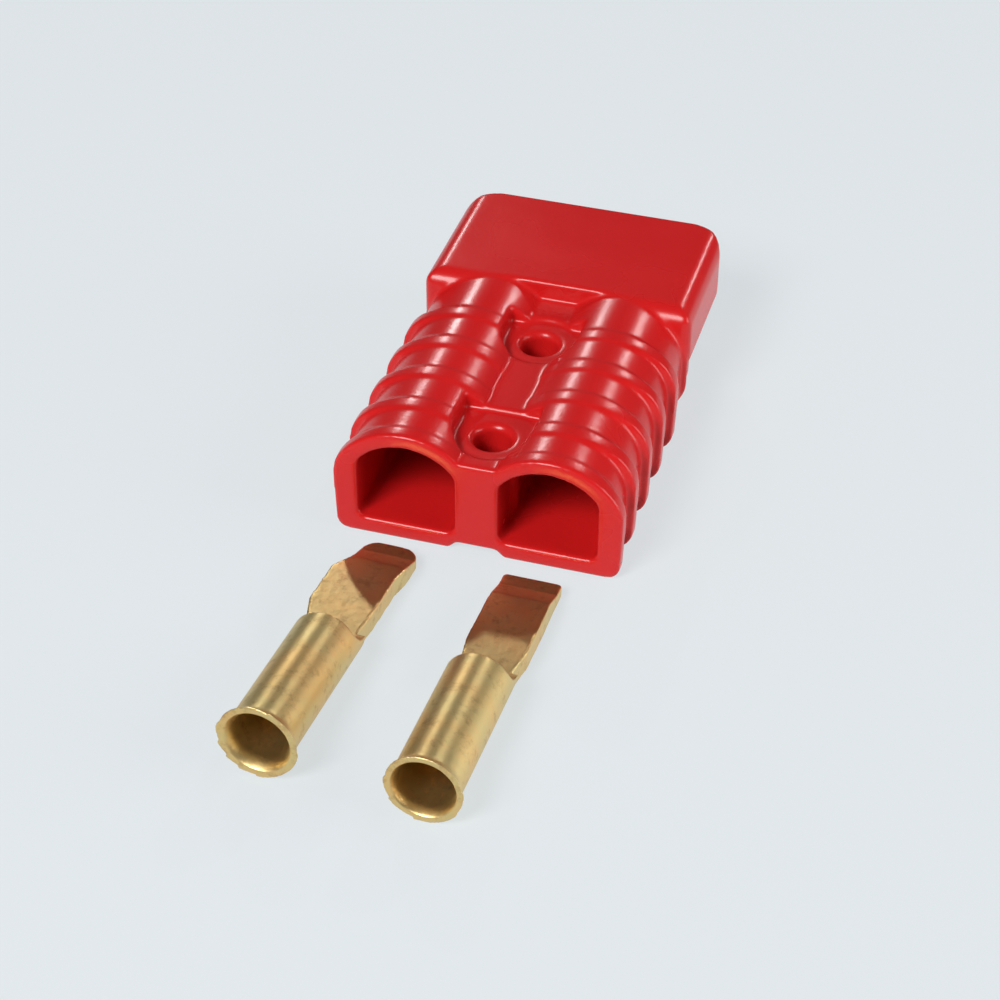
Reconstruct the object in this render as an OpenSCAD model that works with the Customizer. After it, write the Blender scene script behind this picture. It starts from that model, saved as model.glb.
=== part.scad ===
// Two-pole genderless power connector, unassembled: a one-piece moulded
// housing with its two leaf springs fitted, and its two crimp contacts lying
// in front of the cable end. Two equal connectors mate when one is turned
// over: each one's tongue enters the other's hood.
//
// Frame: +Y runs from the cable end to the mating end, +Z is up, and the
// origin is midway between the two mounting holes, on the base plane.

/* [Housing] */
// Length from cable end to mating end
housing_len = 79.4; // [77:0.1:84]
// Width over the ribs at their widest
rib_w = 50.5; // [50:0.1:54]
// Width of the ribs at the base plane
foot_w = 49.6; // [48:0.1:49.8]
// Width over the barrels, between the ribs
barrel_w = 47.6; // [47.2:0.1:48.4]
// Distance between the two barrel centres
lane_pitch = 24.8; // [24.6:0.1:25.2]
// Height of the arch centres above the base plane
arch_z = 8.6; // [8.3:0.1:9]
// Wall between a cable cavity and the arch outside it
arch_wall = 2.7; // [2.4:0.1:3.2]
// Radius that eases a barrel's arch into its side
barrel_shoulder_r = 9; // [7:0.1:10]
// Foot radius of the barrels
barrel_foot_r = 5.5; // [4:0.1:6.5]
// Radius of the cable-end flange over the outer slope of a barrel
flange_arch_r = 14.2; // [13.5:0.1:16]
// Radius that eases the flange's arch into its side
flange_shoulder_r = 7.2; // [5:0.1:8]
// Foot radius of the flange
flange_foot_r = 2.1; // [1.5:0.1:3]
// Height of the web between the barrels
valley_z = 18.2; // [17.8:0.1:19]
// Width of the groove under the web
groove_w = 6.8; // [5:0.1:8]
// Depth of the groove under the web
groove_depth = 1.4; // [0.8:0.1:2]

/* [Ribs] */
// Number of grip ribs between the cable-end flange and the hood
rib_count = 4; // [2:1:4]
// Cable end to the front of the first rib
rib_first = 8.6; // [8:0.1:10]
// Spacing of the ribs
rib_pitch = 9.6; // [9:0.1:10.5]
// Thickness of a rib and of the flange
rib_t = 3; // [2.2:0.1:4]
// How far the ribs stand proud of the barrels' crests
rib_proud = 0.2; // [0.1:0.05:0.5]
// Radius of the ribs over the outer slope of a barrel
rib_arch_r = 16.6; // [15:0.1:20]
// Radius that eases the ribs into their sides
rib_shoulder_r = 8; // [7:0.1:9]
// Foot radius of the ribs
rib_foot_r = 3.2; // [2:0.1:4]

/* [Cable cavities] */
// Width of a cable cavity
cavity_w = 17.1; // [16.6:0.1:17.6]
// Radius of a cavity's arch
cavity_arch_r = 10.55; // [10.2:0.05:10.8]
// Radius that eases a cavity's arch into its sides
cavity_shoulder_r = 2.6; // [1.5:0.1:4]
// Height of a cavity's floor above the base plane
cavity_floor_z = 3.2; // [2.6:0.1:4]
// Radius along the foot of a cavity
cavity_foot_r = 1.4; // [0.8:0.1:2.5]

/* [Mounting holes] */
// Distance between the two mounting holes
hole_spacing = 28.9; // [27:0.1:30]
// Cable end to the first mounting hole
hole_first = 10; // [9:0.1:11]
// Radius of a mounting hole
hole_r = 3.2; // [2.5:0.1:3.3]
// Depth of the eased edge round a mounting hole
hole_ease = 0.8; // [0.3:0.1:1]
// Wall round a mounting hole
boss_wall = 1.4; // [1:0.1:1.6]
// Radius of the pocket round a mounting hole
pocket_r = 6.9; // [5.5:0.1:7]
// From the first hole to the straight back wall of its pocket
pocket_back_1 = 7.2; // [5:0.1:8]
// From the second hole to the straight back wall of its pocket
pocket_back_2 = 5.4; // [4.8:0.1:7]
// Height of the pocket's floor above the base plane
pocket_z = 17.4; // [17.2:0.1:17.7]
// Wall between a pocket and the cable cavities beside it
pocket_wall = 1; // [0.8:0.1:1.1]

/* [Hood] */
// Cable end to the hood's rear face between the barrels
hood_start = 51.5; // [51:0.1:53]
// Cable end to the hood's rear face beside the barrels
hood_side_start = 48.6; // [48.4:0.1:50]
// Thickness of the hood's rear wall between the barrels
hood_back_t = 4.5; // [4:0.1:5]
// Width of the hood
hood_w = 49.8; // [49:0.1:50.2]
// Thickness of the rib that carries on below the hood's rear face
end_rib_t = 1.2; // [1:0.1:3]
// How far that rib stands in from the hood's sides
end_inset = 0.1; // [0.1:0.05:0.4]
// Foot radius of that rib
end_foot_r = 7; // [5:0.1:7.4]
// Height of the hood's top
hood_top_z = 21.9; // [21.8:0.1:23]
// Thickness of the hood's roof and skirts
hood_wall = 2.8; // [2.2:0.1:3.2]
// Radius of the hood's corners, seen from above
hood_corner_r = 7; // [4:0.1:8]
// Radius along the hood's upper side edges
hood_edge_r = 3.4; // [2:0.1:3.8]
// Radius along the hood's upper rear edge
hood_roll_r = 3.5; // [2:0.1:4]
// Radius of the hood's rear corners, seen from above
hood_rear_r = 2; // [1:0.1:3]

/* [Mating faces] */
// Clearance between surfaces that slide together when mating
mating_gap = 0.5; // [0.3:0.05:0.7]
// Clearance between the tongue and the mating hood's skirts
tongue_side_gap = 0.75; // [0.4:0.05:1.2]
// How far the tongue's tip lies behind the hood's edge
tongue_setback = 0.4; // [0:0.1:2]
// Radius of the tongue's corners, seen from above
tongue_corner_r = 4.5; // [2:0.1:5]
// Height of the lip across the end of each contact channel
lip_h = 1.4; // [0.8:0.1:1.8]
// Thickness of that lip
lip_t = 1.5; // [1:0.1:2]

/* [Contacts] */
// Length of a contact
contact_len = 56; // [54:0.1:57]
// Length of a contact's wire barrel
barrel_len = 26.5; // [25:0.1:28]
// Radius of the wire barrel
barrel_r = 5.45; // [5.2:0.05:5.8]
// Radius of the wire bore
bore_r = 4.65; // [4:0.05:4.8]
// Depth of the wire bore
bore_depth = 22; // [18:0.1:23]
// Radius of the left contact's flared rim
left_flare_r = 6.9; // [6.2:0.1:7]
// Radius of the right contact's flared rim
right_flare_r = 6.4; // [6.2:0.1:7]
// Radius of the flare's curve
flare_curve = 2.6; // [2:0.1:3.5]
// Thickness of the blade
blade_t = 3.6; // [3.2:0.1:3.9]
// How far the blade's face lies below the barrel's axis
blade_drop = 0.2; // [0:0.05:0.5]
// Radius of the hollow between barrel and blade
neck_r = 3.4; // [2.6:0.1:4.2]
// Widest part of the left contact's blade
left_blade_w = 11.2; // [10.8:0.1:12]
// How far the left contact's blade is pressed off to one side of its barrel
left_blade_shift = 1.3; // [0:0.1:1.8]
// Width of the left contact's tip
left_tip_w = 9.8; // [9:0.1:10.6]
// Radius of the left contact's tip corners
left_tip_r = 3; // [2:0.1:3.6]
// Widest part of the right contact's blade
right_blade_w = 10.4; // [10.2:0.1:11.6]
// Width of the right contact's tip
right_tip_w = 10.2; // [9.6:0.1:10.2]
// Radius of the right contact's tip corners
right_tip_r = 0.8; // [0.4:0.1:2]
// Length over which a blade widens from the barrel
blade_root = 9.4; // [7:0.1:11]
// How far the blade's root stands in from the barrel's side
root_inset = 1.8; // [1.7:0.1:2.2]
// Length over which a blade narrows to its tip
blade_ease = 3.2; // [2:0.1:4]
// Length of the ramp towards the tip
ramp_len = 4.4; // [3.4:0.1:6]
// Length of the flat at the tip
tip_flat = 2.9; // [2:0.1:4]
// Drop from the blade's face to the flat at the tip
tip_drop = 1.5; // [1:0.1:2]

/* [Contacts laid out] */
// Sideways place of the left contact's mouth
left_x = -15.9; // [-20:0.1:-14]
// Cable end to the left contact's mouth
left_y = 60; // [57:0.1:75]
// Heading of the left contact, degrees towards +X
left_heading = 3; // [-5:0.5:5]
// Sideways place of the right contact's mouth
right_x = 10.9; // [9:0.1:16]
// Cable end to the right contact's mouth
right_y = 61.7; // [57:0.1:75]
// Heading of the right contact, degrees towards +X
right_heading = 1; // [-5:0.5:5]

/* [Contact seats] */
// Clearance round a contact in its channel
blade_gap = 0.35; // [0.2:0.05:0.5]
// How far a fitted contact's tip lies behind the mating end
tip_setback = 1; // [0.5:0.1:2]
// Height of the contact channel's floor
channel_floor_z = 5.2; // [4.8:0.1:5.4]

/* [Leaf springs] */
// Width of a leaf spring
spring_w = 9; // [7:0.1:10]
// Thickness of a leaf spring
spring_t = 0.6; // [0.4:0.05:0.8]
// Length of the flat foot that slides under the bridge
spring_foot = 3; // [2:0.1:4]
// Rise of a free spring's arch above the channel floor
spring_rise = 2.8; // [2.4:0.1:3.2]
// Gap between a spring and the plastic round it
spring_gap = 0.1; // [0.05:0.05:0.2]

/* [Hidden] */
$fn = 96;
eps = 0.01;
lane_x = lane_pitch / 2;
arch_r = cavity_arch_r + arch_wall;
origin_y = hole_first + hole_spacing / 2;
crest_z = arch_z + arch_r;
barrel_z = crest_z - rib_proud;
end_w = hood_w - 2 * end_inset;
roll_z = hood_top_z - hood_roll_r;
chamber_y = hood_start + hood_back_t;
roof_z = hood_top_z - hood_wall;
mating_z = hood_top_z / 2;
skirt_z = mating_z + mating_gap / 5;
tongue_z = hood_wall + mating_gap;
tongue_top = mating_z - mating_gap / 5;
tongue_w = hood_w - 2 * hood_wall - 2 * tongue_side_gap;
boss_r = hole_r + boss_wall;
tongue_end = housing_len - tongue_setback;
widest_blade = max(left_blade_w, right_blade_w);
channel_w = widest_blade + 2 * blade_gap;
cavity_depth = housing_len - tip_setback - contact_len + barrel_len + blade_gap;
blade_top_clear = mating_z + blade_gap;
blade_floor_z = mating_z - blade_t - blade_gap;
blade_z = -blade_drop - blade_t;
slot_h = spring_t + 2 * spring_gap;
spring_end = tongue_end - lip_t - spring_gap;
plastic = [0.80, 0.11, 0.11];
plated = [0.72, 0.60, 0.34];
steel = [0.75, 0.76, 0.78];

// ---- helpers -------------------------------------------------------------

// Extrudes an outline drawn in X and Z along +Y
module along_y(from, to) translate([0, to, 0]) rotate([90, 0, 0]) linear_extrude(to - from) children();

// Extrudes an outline drawn in Y and Z along X, centred on x = 0
module across_x(w) translate([-w / 2, 0, 0]) rotate([90, 0, 90]) linear_extrude(w) children();

// Both sides of something built at +X
module both_sides() {
  children();
  mirror([1, 0, 0]) children();
}

// The slice of a disc between two bearings
module sector(c, r, from, to) intersection() {
  translate(c) circle(r);
  polygon([c, for (a = [from, (from + to) / 2, to]) c + 3 * r * [cos(a), sin(a)]]);
}

// Height at which a shoulder arc runs from the side into the arch
function shoulder_z(half_w, r, sr) = sqrt(pow(r - sr, 2) - pow(half_w - sr, 2));

// Right half of an arched outline, from its own centre line. The arch has
// radius r about height cz, the side stands half_w out and leans in to foot
// at height z0, and sr and fr ease the shoulder and the foot.
module half_arch(half_w, r, cz, sr, foot, fr, z0) {
  shoulder = [half_w - sr, cz + shoulder_z(half_w, r, sr)];
  rise = shoulder[1] - z0;
  lean = max(half_w - foot, 0.02);
  bow_r = (rise * rise + lean * lean) / (2 * lean);
  bow = [half_w - bow_r, shoulder[1]];
  toe = [bow[0] + sqrt(pow(bow_r - fr, 2) - pow(rise - fr, 2)), z0 + fr];
  turn = atan2(shoulder[1] - cz, shoulder[0]);
  dip = atan2(toe[1] - bow[1], toe[0] - bow[0]);
  sector([0, cz], r, turn, 90);
  translate(shoulder) circle(sr);
  translate(toe) circle(fr);
  intersection() {
    translate(bow) circle(bow_r, $fn = 720);
    polygon([[0, z0 + fr], toe, bow + bow_r * [cos(dip), sin(dip)] + [1, 0],
      [half_w + 1, shoulder[1]], [0, shoulder[1]]]);
  }
  polygon([[0, z0], [toe[0], z0], toe, shoulder, [0, cz]]);
}

// ---- housing -------------------------------------------------------------

// Two arches side by side, with the web between them and the groove below.
// The outer slopes have radius r; the inner slopes are round about the lanes.
module twin_arch(w, foot, crest, r, sr, fr, web_z) difference() {
  union() {
    both_sides() translate([lane_x, 0])
      half_arch(w / 2 - lane_x, r, crest - r, sr, foot / 2 - lane_x, fr, 0);
    intersection() {
      both_sides() translate([lane_x, arch_z]) circle(crest - arch_z);
      translate([-lane_x, arch_z]) square([lane_pitch, crest]);
    }
    translate([-lane_x, 0]) square([lane_pitch, web_z]);
  }
  polygon([[-groove_w / 2 - groove_depth, -eps], [-groove_w / 2, groove_depth],
    [groove_w / 2, groove_depth], [groove_w / 2 + groove_depth, -eps]]);
}

module barrels() along_y(rib_t / 2, chamber_y)
  twin_arch(barrel_w, barrel_w, barrel_z, arch_r - rib_proud, barrel_shoulder_r, barrel_foot_r, valley_z);

// Crescents that grow out of the barrels' crests and stand proud at the sides
module ribs() {
  for (i = [0 : rib_count - 1])
    along_y(rib_first + i * rib_pitch, rib_first + i * rib_pitch + rib_t)
      twin_arch(rib_w, foot_w, crest_z, rib_arch_r, rib_shoulder_r, rib_foot_r, valley_z);
}

module flange() along_y(0, rib_t)
  twin_arch(rib_w, foot_w, crest_z, flange_arch_r, flange_shoulder_r, flange_foot_r, valley_z);

// Rib that carries the hood's rear face on down to the base
module end_rib() along_y(hood_side_start, hood_side_start + end_rib_t)
  twin_arch(end_w, end_w, barrel_z - rib_proud, arch_r - 2 * rib_proud, barrel_shoulder_r, end_foot_r,
    valley_z - rib_proud);

// Plate seen from above: square at the body, round at the mating end
module plan(w, r, from, end) {
  translate([-w / 2, from]) square([w, end - r - from]);
  translate([r - w / 2, from]) square([w - 2 * r, end - from]);
  both_sides() translate([w / 2 - r, end - r]) circle(r);
}

// Hood seen from above: beside the barrels it reaches further back, with
// eased rear corners
module hood_plan() {
  reach = hood_start - hood_side_start + 1;
  side_w = hood_w / 2 - lane_x;
  plan(hood_w, hood_corner_r, hood_start, housing_len);
  both_sides() translate([lane_x, hood_side_start]) {
    square([side_w - hood_rear_r, reach]);
    translate([0, hood_rear_r]) square([side_w, reach]);
    translate([side_w - hood_rear_r, hood_rear_r]) circle(hood_rear_r);
  }
}

// Hood seen along X, with its upper rear edge rolled over
module hood_side() {
  roll_y = hood_side_start + hood_roll_r;
  translate([hood_side_start, skirt_z]) square([housing_len - hood_side_start, roll_z - skirt_z]);
  translate([roll_y, skirt_z]) square([housing_len - roll_y, hood_top_z - skirt_z]);
  translate([roll_y, roll_z]) circle(hood_roll_r);
}

// Hood seen along Y, with its upper edges eased
module hood_section() {
  translate([-hood_w / 2, skirt_z]) square([hood_w, hood_top_z - hood_edge_r - skirt_z]);
  translate([hood_edge_r - hood_w / 2, skirt_z]) square([hood_w - 2 * hood_edge_r, hood_top_z - skirt_z]);
  both_sides() translate([hood_w / 2 - hood_edge_r, hood_top_z - hood_edge_r]) circle(hood_edge_r);
}

module hood() intersection() {
  linear_extrude(hood_top_z + 1) hood_plan();
  along_y(hood_side_start - 1, housing_len + 1) hood_section();
  across_x(hood_w + 2) hood_side();
}

module chamber() translate([hood_wall - hood_w / 2, chamber_y, tongue_top])
  cube([hood_w - 2 * hood_wall, housing_len - chamber_y + 1, roof_z - tongue_top]);

module tongue() translate([0, 0, tongue_z])
  linear_extrude(tongue_top - tongue_z) plan(tongue_w, tongue_corner_r, hood_start, tongue_end);

// Cavity for the cable and the contact's barrel, with a wall left round each
// mounting hole and its pocket
module cable_cavity() difference() {
  along_y(-1, cavity_depth) both_sides() translate([lane_x, 0])
    both_sides() half_arch(cavity_w / 2, cavity_arch_r, arch_z, cavity_shoulder_r,
      cavity_w / 2, cavity_foot_r, cavity_floor_z);
  bosses();
  pockets(pocket_wall);
}

// Passage for the blade, the open channel along the tongue and the slot that
// holds the foot of the leaf spring
module contact_seat() both_sides() translate([lane_x - channel_w / 2, 0, 0]) {
  translate([0, cavity_depth - 1, blade_floor_z])
    cube([channel_w, housing_len - cavity_depth + 2, blade_top_clear - blade_floor_z]);
  translate([0, chamber_y, channel_floor_z])
    cube([channel_w, tongue_end - lip_t - chamber_y, mating_z - channel_floor_z]);
  translate([0, tongue_end - lip_t - eps, channel_floor_z + lip_h])
    cube([channel_w, lip_t + 1, mating_z - channel_floor_z]);
  translate([(channel_w - spring_w) / 2 - spring_gap, chamber_y - spring_foot, channel_floor_z])
    cube([spring_w + 2 * spring_gap, spring_foot + eps, slot_h]);
}

module at_holes() for (y = [hole_first, hole_first + hole_spacing]) translate([0, y, 0]) children();

module bosses() at_holes() cylinder(valley_z - 0.4, r = boss_r);

// D-shaped pocket: round towards the cable end, straight towards the hood.
// Grown by a wall, it is the plastic left round the pocket.
module pocket(back, wall) translate([0, 0, pocket_z - wall]) {
  cylinder(crest_z, r = pocket_r + wall);
  translate([-pocket_r - wall, 0, 0]) cube([2 * (pocket_r + wall), back + wall, crest_z]);
}

module pockets(wall = 0) {
  translate([0, hole_first, 0]) pocket(pocket_back_1, wall);
  translate([0, hole_first + hole_spacing, 0]) pocket(pocket_back_2, wall);
}

module mounting_holes() at_holes() {
  translate([0, 0, -1]) cylinder(crest_z, r = hole_r);
  translate([0, 0, pocket_z - hole_ease]) cylinder(hole_ease + eps, hole_r, hole_r + hole_ease);
}

module housing() color(plastic) translate([0, -origin_y, 0]) difference() {
  union() {
    barrels();
    flange();
    ribs();
    end_rib();
    hood();
    tongue();
    bosses();
  }
  chamber();
  cable_cavity();
  contact_seat();
  pockets();
  mounting_holes();
}

// ---- leaf springs --------------------------------------------------------

// Side view of a spring: a flat foot under the bridge, an arch that presses
// the blade up, and a short toe behind the lip
module spring_profile() {
  start = chamber_y - spring_foot + spring_gap;
  arch_from = chamber_y + spring_gap;
  arch_to = spring_end - 2 * spring_t;
  half = (arch_to - arch_from) / 2;
  r = (half * half + spring_rise * spring_rise) / (2 * spring_rise);
  translate([start, 0]) square([arch_from - start + spring_t, spring_t]);
  translate([arch_to - spring_t, 0]) square([spring_end - arch_to + spring_t, spring_t]);
  intersection() {
    translate([arch_from + half, spring_rise - r]) difference() {
      circle(r, $fn = 360);
      circle(r - spring_t, $fn = 360);
    }
    translate([arch_from, 0]) square([2 * half, spring_rise + 1]);
  }
}

module spring(side) color(steel)
  translate([side * lane_x, -origin_y, channel_floor_z + spring_gap]) across_x(spring_w) spring_profile();

module left_spring() spring(-1);

module right_spring() spring(1);

// ---- contacts ------------------------------------------------------------

// Half section of the wire barrel in radius and length: an even wall that
// turns out into the flared rim
module barrel_section(flare_r) {
  wall = barrel_r - bore_r;
  curve_x = barrel_r + flare_curve;
  curve_y = sqrt(pow(flare_curve, 2) - pow(curve_x - flare_r, 2));
  translate([bore_r, curve_y]) square([wall, barrel_len - curve_y]);
  intersection() {
    translate([curve_x, curve_y]) difference() {
      circle(flare_curve + wall);
      circle(flare_curve);
    }
    square([flare_r, curve_y]);
  }
  translate([0, bore_depth]) square([barrel_r, barrel_len - bore_depth]);
}

// Blade seen from above, from inside the barrel to the tip. Its broad part
// may stand to one side of the barrel's axis by shift.
module blade_plan(w, tip_w, tip_r, shift) {
  root = barrel_r - root_inset;
  root_y = barrel_len - 1;
  shoulder_y = barrel_len + blade_root;
  taper_end = contact_len - ramp_len - tip_flat;
  taper_start = taper_end - blade_ease;
  polygon([[-root, root_y], [root, root_y], [w / 2 - shift, shoulder_y], [w / 2 - shift, taper_start],
    [tip_w / 2, taper_end], [tip_w / 2, contact_len - tip_r], [tip_w / 2 - tip_r, contact_len],
    [tip_r - tip_w / 2, contact_len], [-tip_w / 2, contact_len - tip_r], [-tip_w / 2, taper_end],
    [-w / 2 - shift, taper_start], [-w / 2 - shift, shoulder_y]]);
  both_sides() translate([tip_w / 2 - tip_r, contact_len - tip_r]) circle(tip_r);
}

// Blade seen from the side: flat below, with the ramp and flat at the tip
module blade_side() polygon([[barrel_len - 2, blade_z], [contact_len, blade_z],
  [contact_len, -blade_drop - tip_drop], [contact_len - tip_flat, -blade_drop - tip_drop],
  [contact_len - tip_flat - ramp_len, -blade_drop], [barrel_len - 2, -blade_drop]]);

// The end of the barrel, hollowed above and below into the blade
module neck() intersection() {
  translate([0, barrel_len - 1, 0]) rotate([-90, 0, 0]) cylinder(neck_r + 1, r = barrel_r);
  across_x(2 * barrel_r) difference() {
    translate([barrel_len - 1, -barrel_r]) square([neck_r + 1, 2 * barrel_r]);
    translate([barrel_len + neck_r, neck_r - blade_drop]) circle(neck_r);
    translate([barrel_len, neck_r - blade_drop]) square([neck_r, barrel_r]);
    translate([barrel_len + neck_r, blade_z - neck_r]) circle(neck_r);
  }
}

// A contact lies on its rim and on the lower edge of its tip
module contact(flare_r, w, tip_w, tip_r, shift, x, y, heading) {
  pitch = atan((flare_r + blade_z) / contact_len);
  color(plated) translate([x, -origin_y - y, flare_r * cos(pitch)]) rotate([-pitch, 0, -heading]) {
    rotate([-90, 0, 0]) rotate_extrude() barrel_section(flare_r);
    neck();
    intersection() {
      translate([0, 0, -barrel_r]) linear_extrude(2 * barrel_r) blade_plan(w, tip_w, tip_r, shift);
      across_x(2 * (barrel_r + w)) blade_side();
    }
  }
}

module left_contact() contact(left_flare_r, left_blade_w, left_tip_w, left_tip_r, left_blade_shift,
  left_x, left_y, left_heading);

module right_contact() contact(right_flare_r, right_blade_w, right_tip_w, right_tip_r, 0,
  right_x, right_y, right_heading);

housing();
left_spring();
right_spring();
left_contact();
right_contact();
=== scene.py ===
# %% [markdown]
# # A genderless power connector, taken apart
#
# One moulded housing with two cable barrels, a hood and a tongue, and the
# two crimp contacts that snap into it, laid out in front. The solids come
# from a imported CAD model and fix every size. This lesson gives them soft
# moulded edges, the right plastic and metal, and a studio to stand in.

import math

import bmesh
import bpy
from mathutils import Matrix, Vector


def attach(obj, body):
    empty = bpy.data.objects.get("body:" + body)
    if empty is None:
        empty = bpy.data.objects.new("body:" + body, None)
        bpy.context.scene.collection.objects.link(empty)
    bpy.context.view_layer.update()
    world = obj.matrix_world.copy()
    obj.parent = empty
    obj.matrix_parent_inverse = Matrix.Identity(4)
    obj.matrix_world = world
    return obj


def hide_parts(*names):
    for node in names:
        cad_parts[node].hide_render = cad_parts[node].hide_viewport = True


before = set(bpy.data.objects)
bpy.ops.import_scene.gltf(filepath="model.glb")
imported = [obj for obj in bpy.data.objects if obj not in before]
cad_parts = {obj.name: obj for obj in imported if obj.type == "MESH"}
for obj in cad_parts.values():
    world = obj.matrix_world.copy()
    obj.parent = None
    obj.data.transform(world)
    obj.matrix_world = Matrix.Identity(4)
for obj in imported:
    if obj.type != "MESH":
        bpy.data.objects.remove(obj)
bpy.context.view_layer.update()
MM = 0.001
print("CAD pieces:", sorted(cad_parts))

# %% [markdown]
# ## A small language for materials
#
# A material is a graph of nodes. Wiring maths by hand takes many lines, so
# one class wraps a socket and lets Python's own operators add the Math
# nodes: `1 - mask * 0.5` builds two nodes. Colours go through Mix nodes,
# because a Math node would turn them grey.

# %% A socket that does arithmetic
# A Mix node has one set of sockets per kind of value; these carry colours.
COLOUR_INPUTS = (6, 7)
COLOUR_OUTPUT = 2


class Wire:
    """An output socket. Arithmetic on it adds Math nodes to its graph."""

    def __init__(self, graph, socket):
        self.graph, self.socket = graph, socket

    def _math(self, operation, *values):
        return self.graph.node("ShaderNodeMath", {"operation": operation}, *values).out()

    def __add__(self, other):
        return self._math("ADD", self, other)

    __radd__ = __add__

    def __sub__(self, other):
        return self._math("SUBTRACT", self, other)

    def __rsub__(self, other):
        return self._math("SUBTRACT", other, self)

    def __mul__(self, other):
        return self._math("MULTIPLY", self, other)

    __rmul__ = __mul__

    def smooth(self, low, high):
        """0 below low, 1 above high, and a soft step between them."""
        settings = {"interpolation_type": "SMOOTHSTEP"}
        return self.graph.node("ShaderNodeMapRange", settings, self, low, high).out()


class Built:
    """A node that has been added, with its outputs as wires."""

    def __init__(self, graph, node):
        self.graph, self.node = graph, node

    def out(self, name=0):
        return Wire(self.graph, self.node.outputs[name])


class Graph:
    """A material or world whose nodes are added one call at a time."""

    def __init__(self, owner):
        owner.use_nodes = True
        self.tree = owner.node_tree
        self.tree.nodes.clear()

    def node(self, kind, settings=None, *values, **named):
        """Adds a node: its settings first, then what feeds its sockets."""
        made = self.tree.nodes.new(kind)
        for key, value in (settings or {}).items():
            setattr(made, key, value)
        for key, value in list(enumerate(values)) + list(named.items()):
            if isinstance(key, str):
                key = key.replace("_", " ")
            if isinstance(value, Wire):
                self.tree.links.new(value.socket, made.inputs[key])
            else:
                made.inputs[key].default_value = value
        return Built(self, made)

    def blend(self, share, first, second):
        """A colour between two others."""
        made = self.node("ShaderNodeMix", {"data_type": "RGBA"}, share)
        for socket, value in zip(COLOUR_INPUTS, (first, second)):
            if isinstance(value, Wire):
                self.tree.links.new(value.socket, made.node.inputs[socket])
            else:
                made.node.inputs[socket].default_value = (*value, 1)
        return made.out(COLOUR_OUTPUT)

    def noise(self, place, scale, detail=2.0, rough=0.5):
        """Soft random blotches, this many to the metre."""
        return self.node("ShaderNodeTexNoise", None, Vector=place, Scale=scale,
                         Detail=detail, Roughness=rough).out("Fac")


def new_material(name):
    material = bpy.data.materials.new(name)
    graph = Graph(material)
    place = graph.node("ShaderNodeTexCoord").out("Object")
    return material, graph, place


def finish_surface(graph, shader):
    graph.node("ShaderNodeOutputMaterial", None, shader.out())


# %% [markdown]
# ## Red moulded plastic
#
# The housing is polycarbonate from a polished mould: even colour all the way
# through, a clear gloss, and a surface that ripples very slightly where it
# shrank. The colour varies by a few parts in a hundred, the gloss a little
# more, and a fine bump breaks up the reflections.

# %% The plastic
def make_plastic():
    material, graph, place = new_material("housing_plastic")
    cloud = graph.noise(place, 45.0, 3.0)
    speck = graph.noise(place, 2600.0, 2.0).smooth(0.66, 0.78)
    colour = graph.blend(cloud, (0.52, 0.009, 0.010), (0.60, 0.012, 0.012))
    colour = graph.blend(speck * 0.10, colour, (0.75, 0.06, 0.05))
    ripple = graph.noise(place, 260.0, 2.0) * 0.7 + graph.noise(place, 1500.0) * 0.3
    bump = graph.node("ShaderNodeBump", None, Strength=0.10, Distance=0.0004, Height=ripple)
    shader = graph.node("ShaderNodeBsdfPrincipled", None, Base_Color=colour,
                        Roughness=0.20 + cloud * 0.12, Normal=bump.out())
    shader.node.inputs["IOR"].default_value = 1.45
    shader.node.inputs["Specular IOR Level"].default_value = 0.40
    finish_surface(graph, shader)
    return material


plastic = make_plastic()
print("plastic nodes:", len(plastic.node_tree.nodes))

# %% [markdown]
# ## Plated copper
#
# The contacts are copper tube under a thin yellowish plating. Where the
# plating is thin, or was worked when the blade was pressed flat, the warm
# copper shows through as brown clouds, and handling leaves dull specks.
# Metal takes its look from what it reflects, so its roughness matters more
# than its colour.

# %% The plating
def make_plating():
    material, graph, place = new_material("plated_copper")
    cloud = graph.noise(place, 120.0, 4.0, 0.6)
    stain = graph.noise(place, 420.0, 5.0, 0.7)
    colour = graph.blend(cloud.smooth(0.35, 0.7), (0.72, 0.56, 0.25), (0.80, 0.54, 0.22))
    colour = graph.blend(stain.smooth(0.50, 0.75) * 0.6, colour, (0.42, 0.24, 0.10))
    ripple = graph.noise(place, 700.0, 4.0) * 0.6 + stain * 0.4
    bump = graph.node("ShaderNodeBump", None, Strength=0.25, Distance=0.0003, Height=ripple)
    shader = graph.node("ShaderNodeBsdfPrincipled", None, Base_Color=colour, Metallic=1.0,
                        Roughness=0.34 + stain * 0.18, Normal=bump.out())
    finish_surface(graph, shader)
    return material


plating = make_plating()

# %% [markdown]
# ## Spring steel
#
# The leaf springs in the tongue's channels are rolled stainless strip: pale
# grey, bright, with fine lines along the rolling direction.

# %% The steel
def make_steel():
    material, graph, place = new_material("spring_steel")
    along = graph.node("ShaderNodeMapping", None, Vector=place, Scale=(3000.0, 90.0, 3000.0)).out()
    lines = graph.noise(along, 1.0, 3.0)
    colour = graph.blend(lines, (0.50, 0.51, 0.53), (0.64, 0.65, 0.67))
    bump = graph.node("ShaderNodeBump", None, Strength=0.2, Distance=0.0001, Height=lines)
    shader = graph.node("ShaderNodeBsdfPrincipled", None, Base_Color=colour, Metallic=1.0,
                        Roughness=0.22 + lines * 0.14, Normal=bump.out())
    finish_surface(graph, shader)
    return material


steel = make_steel()

# %% [markdown]
# ## Soft edges
#
# A moulded part has no sharp edge: the mould itself is rounded, and plastic
# shrinks into the corners. Bevelling every edge of a solid with ribs,
# arches and pockets would break where they meet. Instead the solid is
# wrapped again in small even quads (a voxel remesh) and those are relaxed,
# which rounds every edge by about the same amount. Flat stretches then give
# back the quads that they don't need.

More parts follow.
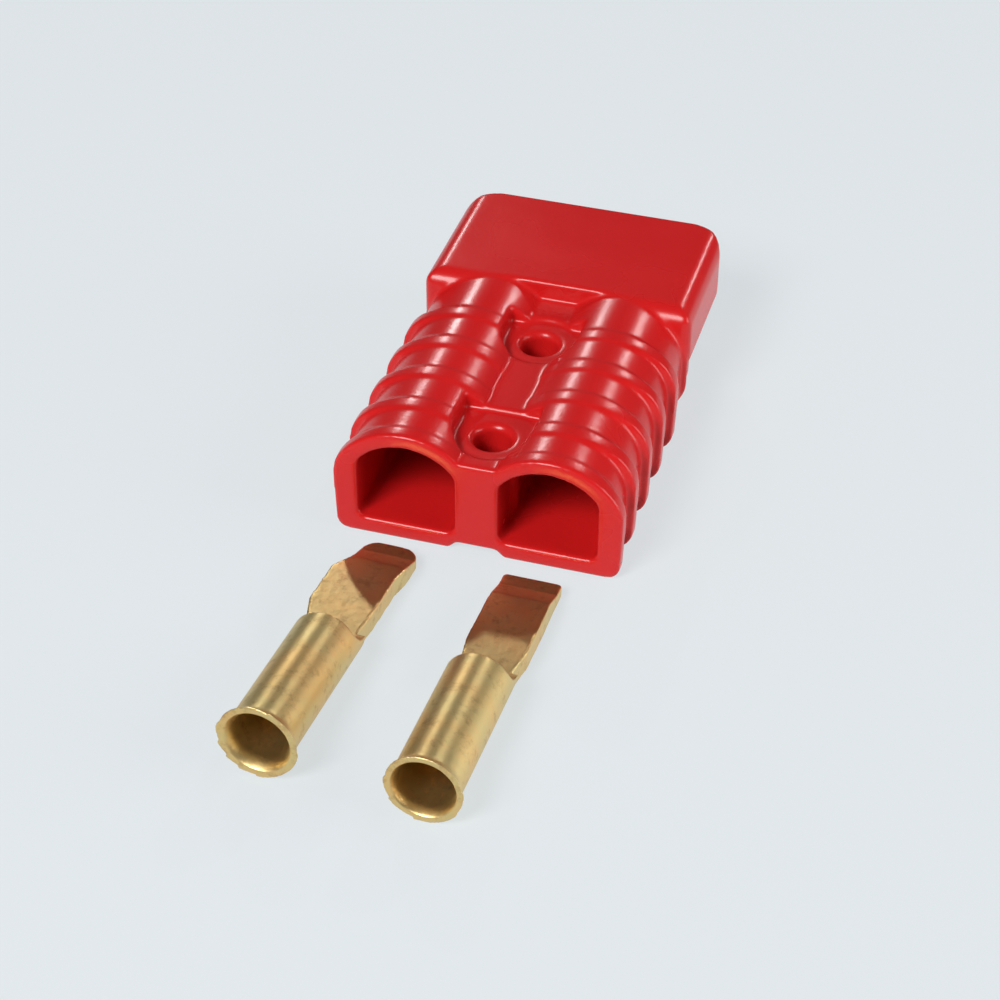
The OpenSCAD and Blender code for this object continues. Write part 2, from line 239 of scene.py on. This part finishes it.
# %% Wrap and relax a copy of a solid
def copy_solid(node, name):
    """A copy of a CAD piece as one closed mesh."""
    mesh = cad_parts[node].data.copy()
    mesh.name = name
    mesh.materials.clear()
    shape = bmesh.new()
    shape.from_mesh(mesh)
    bmesh.ops.remove_doubles(shape, verts=shape.verts, dist=1e-7)
    shape.to_mesh(mesh)
    shape.free()
    piece = bpy.data.objects.new(name, mesh)
    bpy.context.scene.collection.objects.link(piece)
    return piece


def settle(piece):
    """Turns what the modifiers show into the piece's own mesh."""
    seen = piece.evaluated_get(bpy.context.evaluated_depsgraph_get())
    mesh = bpy.data.meshes.new_from_object(seen)
    piece.modifiers.clear()
    piece.data = mesh
    return mesh


def soften(piece, voxel, rounds, keep):
    wrap = piece.modifiers.new("wrap", "REMESH")
    wrap.mode = "VOXEL"
    wrap.voxel_size = voxel
    relax = piece.modifiers.new("relax", "SMOOTH")
    relax.factor = 0.5
    relax.iterations = rounds
    thin = piece.modifiers.new("thin", "DECIMATE")
    thin.ratio = keep
    mesh = settle(piece)
    mesh.polygons.foreach_set("use_smooth", [True] * len(mesh.polygons))
    print(piece.name, "faces:", len(mesh.polygons))


def hand_over(piece, node, material):
    piece.data.materials.clear()
    piece.data.materials.append(material)
    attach(piece, "root")
    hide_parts(node)


HOUSING_QUAD = 0.36 * MM
CONTACT_QUAD = 0.2 * MM

housing = copy_solid("housing", "moulded_housing")
soften(housing, HOUSING_QUAD, 9, 0.5)
hand_over(housing, "housing", plastic)

for side in ("left", "right"):
    contact = copy_solid(f"{side}_contact", f"{side}_crimp_contact")
    soften(contact, CONTACT_QUAD, 5, 0.6)
    hand_over(contact, f"{side}_contact", plating)
    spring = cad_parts[f"{side}_spring"]
    spring.data.materials.clear()
    spring.data.materials.append(steel)

# %% [markdown]
# ## The studio
#
# A pale table that runs out of sight. Most of what the camera sees of it is
# its own colour, given off evenly, and the rest is lit like paper, so the
# object's soft shadow still falls on it.

# %% Table
PALE = (0.745, 0.791, 0.815)
TABLE_WIDTH = 6.0
TABLE_LEVEL = -0.2 * MM
OWN_LIGHT = 0.82


def make_table():
    bpy.ops.mesh.primitive_plane_add(size=TABLE_WIDTH, location=(0, 0, TABLE_LEVEL))
    table = bpy.context.object
    table.name = "table"
    material, graph, _ = new_material("table_paper")
    paper = graph.node("ShaderNodeBsdfDiffuse", None, (*PALE, 1))
    glow = graph.node("ShaderNodeEmission", None, (*PALE, 1), 1.0)
    path = graph.node("ShaderNodeLightPath")
    seen = path.out("Is Camera Ray") + path.out("Is Glossy Ray") + path.out("Is Transmission Ray")
    share = seen.smooth(0.0, 1.0) * OWN_LIGHT
    both = graph.node("ShaderNodeMixShader", None, share, paper.out(), glow.out())
    finish_surface(graph, both)
    table.data.materials.append(material)


make_table()

# %% [markdown]
# ## Light
#
# The sky is faint, and dimmest overhead, so that level faces stay dark and
# upright ones come out lighter. The main lamp stands in front, half way up.
# A weaker and wider one fills in from the right, and two small ones behind
# leave glints on the barrels. The camera sees the table's colour above the
# table's edge too, whatever the sky gives.

# %% Sky and lamps
SKY_STRENGTH = 0.12


def make_sky():
    world = bpy.data.worlds.new("studio")
    bpy.context.scene.world = world
    graph = Graph(world)
    way = graph.node("ShaderNodeTexCoord").out("Generated")
    parts = graph.node("ShaderNodeSeparateXYZ", None, way)
    low = 1.0 - parts.out("Z").smooth(0.0, 0.75)
    sky = graph.blend(low, (0.34, 0.36, 0.38), (0.95, 0.97, 1.0))
    path = graph.node("ShaderNodeLightPath")
    backdrop = tuple(level / SKY_STRENGTH for level in PALE)
    shown = graph.blend(path.out("Is Camera Ray"), sky, backdrop)
    back = graph.node("ShaderNodeBackground", None, shown, SKY_STRENGTH)
    graph.node("ShaderNodeOutputWorld", None, back.out())


def lamp(name, bearing, height, away, size, power, colour=(1, 1, 1)):
    """A square lamp that faces the object. Bearing 0 is in front of the
    cable end and 90 to its right; height is in degrees above the table."""
    light = bpy.data.lights.new(name, "AREA")
    light.size = size
    light.energy = power
    light.color = colour
    holder = bpy.data.objects.new(name, light)
    bpy.context.scene.collection.objects.link(holder)
    b, h = math.radians(bearing), math.radians(height)
    way = Vector((math.sin(b) * math.cos(h), -math.cos(b) * math.cos(h), math.sin(h)))
    holder.location = way * away
    holder.rotation_euler = way.to_track_quat("Z", "Y").to_euler()


make_sky()
lamp("front_light", -20, 42, 1.2, 0.45, 15.0)
lamp("right_light", 95, 18, 0.9, 0.6, 5.6)
lamp("glint_left", -153, 28, 1.5, 0.05, 2.0)
lamp("glint_right", 165, 33, 1.5, 0.05, 2.0)

# %% [markdown]
# ## Camera
#
# A long lens, some way off, above and to the right of the cable end.

# %% Place the camera
SENSOR = 36.0
LENS = 2.370 * SENSOR


def place_camera():
    bearing, height, roll = math.radians(16.421), math.radians(38.439), math.radians(0.346)
    away, target = 412.8 * MM, Vector((-0.19, -9.27, 0)) * MM
    back = Vector((math.sin(bearing) * math.cos(height), -math.cos(bearing) * math.cos(height),
                   math.sin(height)))
    right = (-back).cross(Vector((0, 0, 1))).normalized()
    up = back.cross(right)
    right, up = (math.cos(roll) * right + math.sin(roll) * up,
                 math.cos(roll) * up - math.sin(roll) * right)
    data = bpy.data.cameras.new("camera")
    data.sensor_width = SENSOR
    data.lens = LENS
    camera = bpy.data.objects.new("camera", data)
    turn = Matrix((right, up, back)).transposed().to_4x4()
    camera.matrix_world = Matrix.Translation(target + away * back) @ turn
    bpy.context.scene.collection.objects.link(camera)
    bpy.context.scene.camera = camera


place_camera()
bpy.context.scene.view_settings.view_transform = "Standard"
